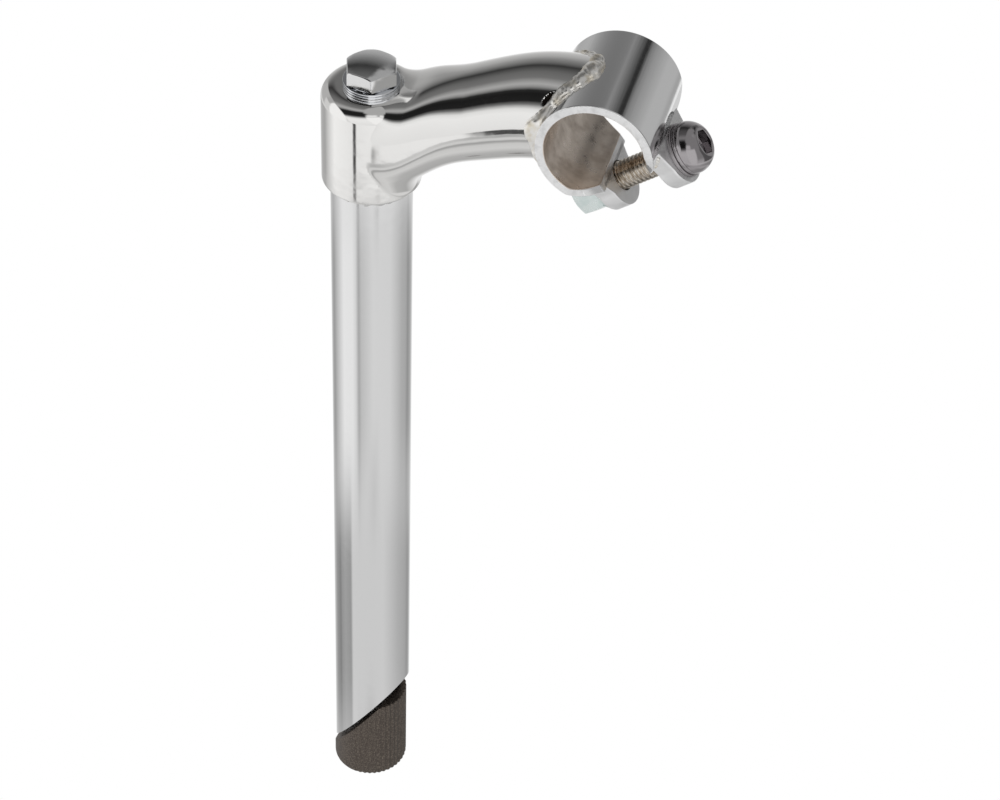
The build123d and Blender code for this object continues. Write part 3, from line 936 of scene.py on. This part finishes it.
def wedge_surface(angle):
    """Radius of the wedge's wall, ribbed on the side away from its slanted face's tip."""
    ribs = np.cos(angle * RIBS)
    facing = smooth_step(math.cos(angle + 0.5), 0.15, 0.6)
    return WEDGE_RADIUS - RIB_DEPTH * facing * (0.5 - 0.5 * ribs)


def wedge_height(angle, radius, shift):
    """Height of the slanted face, which follows the tube's cut but stops short at the tip."""
    slant = cut_height(radius * math.cos(angle) + shift, radius * math.sin(angle)) - WEDGE_GAP
    return float(smooth_min(slant, wedge_top - WEDGE_TIP_DROP, WEDGE_TIP_BLEND))


def wedge_profile(angle):
    """The wall with its rounded foot, and the slanted face from the wall in to the bore."""
    wall = wedge_surface(angle)
    top = wedge_height(angle, wall, WEDGE_SHIFT)
    outline = [(WEDGE_BORE_RADIUS, wedge_bottom)]
    for turn in np.linspace(0, TAU / 4, 8):
        inset, rise = WEDGE_FOOT_ROUND * (1 - math.sin(turn)), WEDGE_FOOT_ROUND * (1 - math.cos(turn))
        outline.append((wall - inset, wedge_bottom + rise))
    outline += [(wall, top - 0.25), (wall - 0.1, top - 0.12)]
    for share in np.linspace(0.03, 1, 12):
        radius = wall + (WEDGE_BORE_RADIUS - wall) * share
        outline.append((radius, wedge_height(angle, radius, WEDGE_SHIFT * (1 - share))))
    return np.array(outline)


points, faces = ring(wedge_profile, WEDGE_SEGMENTS)
radius = np.hypot(points[:, 0], points[:, 1])
points[:, 0] += WEDGE_SHIFT * smooth_step(radius, WEDGE_BORE_RADIUS, WEDGE_RADIUS - 1.7)
add_piece("expander_wedge_body", points, faces, wedge_iron, "expander_wedge")

# ---- Clamp bolt and nut ----

clamp_end, clamp_top = extent("clamp_bolt", bolt_axis, bolt_centre)
head_seat = lock_high
HEAD_RADIUS = 7.0
HEAD_TOP_RADIUS = 3.85
HEAD_FULLNESS = 1.25
HEAD_RIM = 0.7
SOCKET_ACROSS_FLATS = 6.0
SOCKET_DEPTH = 2.8
clamp_thread = thread(clamp_end + 0.5, head_seat - 2.0)


def clamp_bolt_profile(angle):
    """The threaded shank, the button head and its hexagon socket."""
    socket = hexagon(angle, SOCKET_ACROSS_FLATS)
    end = [(0, clamp_end), (THREAD_ROOT - 0.2, clamp_end)]
    neck = [(THREAD_CREST - 0.1, head_seat - 1.0), (THREAD_CREST, head_seat)]
    rim = [(HEAD_RADIUS - 0.25, head_seat), (HEAD_RADIUS, head_seat + 0.2)]
    rise = clamp_top - head_seat - HEAD_RIM
    head = []
    for turn in np.linspace(0, TAU / 4, 14):
        outwards = abs(math.cos(turn)) ** HEAD_FULLNESS
        across = HEAD_TOP_RADIUS + (HEAD_RADIUS - HEAD_TOP_RADIUS) * outwards
        head.append((across, head_seat + HEAD_RIM + rise * math.sin(turn) ** HEAD_FULLNESS))
    lip = [(3.75, clamp_top), (socket + 0.12, clamp_top - 0.06), (socket, clamp_top - 0.3)]
    floor = clamp_top - SOCKET_DEPTH
    inside = [(socket, floor), (socket * 0.55, floor - 0.15), (0, floor - 0.7)]
    return np.concatenate([end, clamp_thread(angle), neck, rim, head, lip, inside])


points, faces = ring(clamp_bolt_profile, 96, closed=False)
clamp_bolt_piece = add_piece("clamp_bolt_body", on_bolt(points), faces, clamp_steel, "clamp_bolt")
clamp_bolt_piece.data.materials.append(thread_steel)
for face in clamp_bolt_piece.data.polygons:
    along = float((np.array(face.center) / MM - bolt_centre) @ bolt_axis)
    face.material_index = 1 if along < EAR_OUTER else 0

nut_low, nut_high = extent("clamp_nut", bolt_axis, bolt_centre)
NUT_ACROSS_FLATS = 12.0
NUT_CHAMFER_START = 5.7
NUT_BORE = 3.95


def nut_profile(angle):
    """A hexagon nut with both ends chamfered and its bore's edges broken."""
    side = hexagon(angle, NUT_ACROSS_FLATS)
    slope = (side - NUT_CHAMFER_START) * math.tan(TAU / 12)
    return [
        (NUT_BORE + 0.5, nut_low),
        (NUT_CHAMFER_START, nut_low),
        (side - 0.05, nut_low + slope - 0.05),
        (side, nut_low + slope + 0.08),
        (side, nut_high - slope - 0.08),
        (side - 0.05, nut_high - slope + 0.05),
        (NUT_CHAMFER_START, nut_high),
        (NUT_BORE + 0.5, nut_high),
        (NUT_BORE, nut_high - 0.5),
        (NUT_BORE, nut_low + 0.5),
    ]


points, faces = ring(nut_profile, 96)
add_piece("clamp_nut_body", on_bolt(points), faces, nut_zinc, "clamp_nut")

# ---- Surroundings ----

# Soft light and dark areas round the object: azimuth from and to, elevation from and to, softness, brightness
PATCHES = (
    (-176, -36, -36, 33, 7, 240),
    (-128, -100, -30, 30, 8, 216),
    (0, 62, -32, 20, 8, 112),
    (53, 62, -8, 38, 5, 50),
    (62, 90, 10, 34, 6, 120),
    (42, 54, 30, 50, 6, 115),
    (136, 166, -20, 30, 8, 174),
    (166, 186, -22, 10, 7, 204),
    (-195, -142, 51, 71, 5, (30, 20, 17)),
    (114, 126, 25, 40, 5, 68),
    (114, 126, 40, 45, 4, 112),
    (96, 124, 46, 60, 4, 174),
    (86, 96, 28, 45, 4, 95),
    (86, 94, 47, 51, 3, 84),
    (20, 42, 50, 68, 5, 178),
    (-112, -88, 33, 60, 12, 52),
    (-86, -60, 33, 50, 10, 225),
)
# Brightness round an axis, by angle in degrees. Round the tube the angle is the azimuth.
UNDER_SLEEVE = (
    (-180, 220), (-168, 240), (-118, 230), (-115, 70), (-111, 70), (-108, 230), (-20, 240), (30, 215),
    (118, 200), (138, 170), (154, 165), (180, 220),
)
UNDER_TUBE_TOP = (
    (-180, 205), (-162, 232), (-131, 230), (-121, 214), (-112, 166), (-104, 190), (-70, 212),
    (-20, 210), (22, 174), (40, 168), (52, 146), (72, 172), (84, 208), (95, 228), (118, 222),
    (138, 170), (150, 155), (180, 205),
)
UNDER_TUBE_FOOT = (
    (-180, 150), (-165, 160), (-143, 150), (-136, 204), (-40, 204), (12, 176), (48, 164), (60, 150),
    (72, 160), (84, 206), (95, 228), (118, 215), (150, 150), (172, 130), (180, 150),
)
# Round the arm the angle is measured from the near side upwards
ROUND_ARM = (
    (-180, 190), (-155, 238), (-135, 236), (-108, 168), (-84, 176), (-68, 205), (-54, 200), (-47, 150),
    (-41, 222), (10, 234), (20, 222), (31, 110), (38, 32), (56, 27), (64, 40), (72, 140), (79, 166),
    (96, 112), (112, 100), (131, 52), (148, 132), (160, 166), (180, 190),
)
# Round the barrel the angle is measured from the front upwards
ROUND_BARREL = (
    (-180, 170), (-36, 160), (-26, 174), (4, 174), (35, 146), (46, 128), (51, 100), (55, 42), (61, 46),
    (66, 80), (86, 134), (106, 122), (122, 74), (134, 72), (146, 112), (170, 150), (180, 170),
)
RIGHTWARD, NEARWARD, UPWARD = Vector((1, 0, 0)), Vector((0, -1, 0)), Vector((0, 0, 1))
ARM_CLIMB = math.radians(20)
arm_way = Vector((math.cos(ARM_CLIMB), 0, math.sin(ARM_CLIMB)))
arm_top = Vector((-math.sin(ARM_CLIMB), 0, math.cos(ARM_CLIMB)))
# Rings of brightness: axis, directions at no angle and at a right angle, tilt from and to, softness, profile
RINGS = (
    (-NEARWARD, RIGHTWARD, UPWARD, 44, 60, 8.0, ROUND_BARREL),
    (arm_way, NEARWARD, arm_top, -35, 13, 5.0, ROUND_ARM),
    (UPWARD, RIGHTWARD, -NEARWARD, -47, -42.8, 2.6, UNDER_TUBE_FOOT),
    (UPWARD, RIGHTWARD, -NEARWARD, -42.8, -37.9, 2.6, UNDER_TUBE_TOP),
    (UPWARD, RIGHTWARD, -NEARWARD, -37.9, -31, 0.6, UNDER_SLEEVE),
)
FLOOR_BRIGHTNESS = 210
ROOM_BRIGHTNESS = 165
FLOOR_EDGE = (-26.0, -6.0)


def surroundings_group():
    """A node group that turns a direction into the brightness of the room there."""
    group = bpy.data.node_groups.new("surroundings", "ShaderNodeTree")
    group.interface.new_socket("Direction", in_out="INPUT", socket_type="NodeSocketVector")
    group.interface.new_socket("Colour", in_out="OUTPUT", socket_type="NodeSocketColor")
    nodes = Nodes(group)
    entry = nodes.add("NodeGroupInput").outputs[0]
    direction = nodes.add("ShaderNodeVectorMath", {0: entry}, operation="NORMALIZE").outputs[0]

    def along(axis):
        inputs = {0: direction, 1: axis}
        return nodes.add("ShaderNodeVectorMath", inputs, operation="DOT_PRODUCT").outputs["Value"]

    def angles(axis, zero, right_angle):
        turn = nodes.maths("DEGREES", nodes.maths("ARCTAN2", along(right_angle), along(zero)))
        tilt = nodes.maths("DEGREES", nodes.maths("ARCSINE", along(axis)))
        return turn, tilt

    def window(value, low, high, soft):
        off_middle = nodes.maths("ABSOLUTE", nodes.maths("SUBTRACT", value, (low + high) / 2))
        half = (high - low) / 2
        return nodes.ramp(off_middle, half - soft / 2, half + soft / 2, 1.0, 0.0, smooth=True)

    azimuth, elevation = angles(UPWARD, RIGHTWARD, -NEARWARD)
    above = nodes.ramp(elevation, *FLOOR_EDGE, smooth=True)
    colour = nodes.mix(above, grey_or_colour(FLOOR_BRIGHTNESS), grey_or_colour(ROOM_BRIGHTNESS))
    for az_from, az_to, el_from, el_to, soft, brightness in PATCHES:
        middle = (az_from + az_to) / 2
        off_middle = nodes.maths("WRAP", nodes.maths("SUBTRACT", azimuth, middle), 180.0, -180.0)
        within = window(off_middle, az_from - middle, az_to - middle, soft)
        level = window(elevation, el_from, el_to, soft)
        colour = nodes.mix(nodes.maths("MULTIPLY", within, level), colour, grey_or_colour(brightness))
    for axis, zero, right_angle, low, high, soft, profile in RINGS:
        turn, tilt = angles(axis, zero, right_angle)
        share = nodes.ramp(turn, -180.0, 180.0)
        ramp = nodes.add("ShaderNodeValToRGB", {"Fac": share})
        stops = ramp.color_ramp.elements
        for degrees, brightness in profile[1:-1]:
            stops.new((degrees + 180) / 360).color = grey_or_colour(brightness)
        stops[0].color = grey_or_colour(profile[0][1])
        stops[-1].color = grey_or_colour(profile[-1][1])
        colour = nodes.mix(window(tilt, low, high, soft), colour, ramp.outputs["Color"])
    nodes.add("NodeGroupOutput", {0: colour})
    return group


room = surroundings_group()
BACKDROP_WHITE = (1.0, 1.0, 1.0, 1.0)


def seen_room(nodes, direction):
    """The room in a direction, but plain white where the camera looks straight at it."""
    seen = nodes.add("ShaderNodeGroup", {0: direction}, node_tree=room).outputs[0]
    from_camera = nodes.add("ShaderNodeLightPath").outputs["Is Camera Ray"]
    return nodes.mix(from_camera, seen, BACKDROP_WHITE)


world = bpy.data.worlds.new("studio")
world.use_nodes = True
bpy.context.scene.world = world
nodes = Nodes(world.node_tree)
direction = nodes.add("ShaderNodeTexCoord").outputs["Generated"]
colour = seen_room(nodes, direction)
background = nodes.add("ShaderNodeBackground", {"Color": colour, "Strength": 1.0})
nodes.add("ShaderNodeOutputWorld", {"Surface": background.outputs[0]})

# A plain pale floor, which the camera sees as white and the chrome sees as the room below it.
# It is clear from underneath, so that views from below aren't blocked.
FLOOR_HALF = 3.0
FLOOR_LEVEL = -0.2435
floor_material = bpy.data.materials.new("pale_floor")
floor_material.use_nodes = True
nodes = Nodes(floor_material.node_tree)
geometry = nodes.add("ShaderNodeNewGeometry")
backwards = {0: geometry.outputs["Incoming"], 1: (-1, -1, -1)}
onward = nodes.add("ShaderNodeVectorMath", backwards, operation="MULTIPLY").outputs[0]
glow = nodes.add("ShaderNodeEmission", {"Color": seen_room(nodes, onward), "Strength": 1.0}).outputs[0]
clear = nodes.add("ShaderNodeBsdfTransparent").outputs[0]
surface = nodes.add("ShaderNodeMixShader", {0: geometry.outputs["Backfacing"], 1: glow, 2: clear})
nodes.add("ShaderNodeOutputMaterial", {"Surface": surface.outputs[0]})

floor_mesh = bpy.data.meshes.new("floor")
floor_signs = [(-1, -1), (1, -1), (1, 1), (-1, 1)]
floor_corners = [(x * FLOOR_HALF, y * FLOOR_HALF, FLOOR_LEVEL) for x, y in floor_signs]
floor_mesh.from_pydata(floor_corners, [], [(0, 1, 2, 3)])
floor_mesh.materials.append(floor_material)
new_object("floor", floor_mesh)

# Soft studio light
LAMP_SIZE = 0.8
LAMP_POWER = 4.0
LAMP_PLACE = Vector((-0.5, -0.7, 1.2))
LAMP_TARGET = Vector((0, 0, -0.05))
lamp_data = bpy.data.lights.new("softbox", "AREA")
lamp_data.size = LAMP_SIZE
lamp_data.energy = LAMP_POWER
lamp = new_object("softbox", lamp_data)
lamp.location = LAMP_PLACE
lamp.rotation_euler = (LAMP_TARGET - lamp.location).to_track_quat("-Z", "Y").to_euler()
lamp.visible_camera = False
lamp.visible_glossy = False

# ---- Camera ----

CAMERA_AZIMUTH = math.radians(13.785)
CAMERA_RISE = math.radians(41.323)
CAMERA_ROLL = math.radians(1.772)
CAMERA_PLACE = Vector((0.21012, -0.70449, 0.56695))
LENS_MM = 124.44
SENSOR_MM = 36.0

east, north = math.cos(CAMERA_AZIMUTH), math.sin(CAMERA_AZIMUTH)
level, lift = math.cos(CAMERA_RISE), math.sin(CAMERA_RISE)
backward = Vector((north * level, -east * level, lift))
rightward = Vector((east, north, 0))
upward = backward.cross(rightward)
camera_x = rightward * math.cos(CAMERA_ROLL) + upward * math.sin(CAMERA_ROLL)
camera_y = upward * math.cos(CAMERA_ROLL) - rightward * math.sin(CAMERA_ROLL)
camera_data = bpy.data.cameras.new("camera")
camera_data.sensor_width = SENSOR_MM
camera_data.lens = LENS_MM
camera_data.clip_start = 0.01
camera = new_object("camera", camera_data)
turned = Matrix((camera_x, camera_y, backward)).transposed().to_4x4()
camera.matrix_world = Matrix.Translation(CAMERA_PLACE) @ turned
bpy.context.scene.camera = camera
bpy.context.scene.view_settings.view_transform = "Standard"
